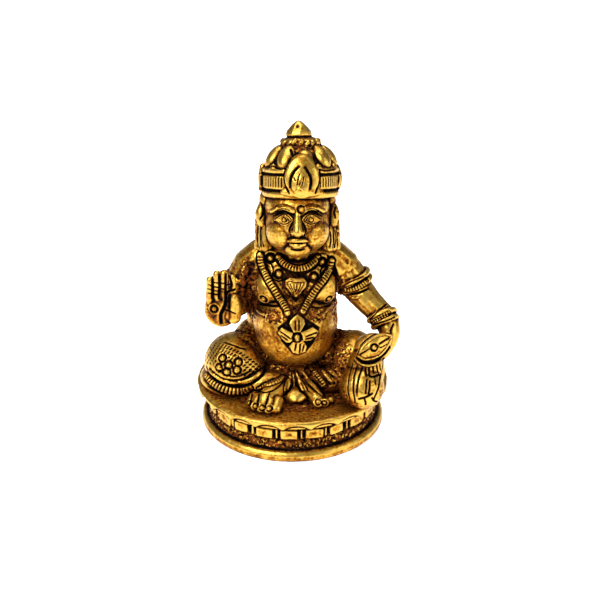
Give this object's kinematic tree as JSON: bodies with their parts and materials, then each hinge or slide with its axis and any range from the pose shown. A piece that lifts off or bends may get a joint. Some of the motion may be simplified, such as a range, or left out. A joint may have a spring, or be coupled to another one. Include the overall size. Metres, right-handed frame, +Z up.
{
  "type": "kubera statuette",
  "caption": "Small cast brass statuette of the seated god of wealth, one hand raised and one on a money bag, on a round lotus base; stands by its own weight.",
  "frame": {"origin": "centre of the round base's flat underside", "axes": "+Z up along the base's axis, the figure faces -Y, its own right hand is on the -X side"},
  "size_m": [0.0463, 0.0442, 0.0704],
  "materials": {
    "antique_brass": "polished high points over a dark patina"
  },
  "bodies": {
    "root": {"kubera_statue": "antique_brass"}
  },
  "joints": []
}
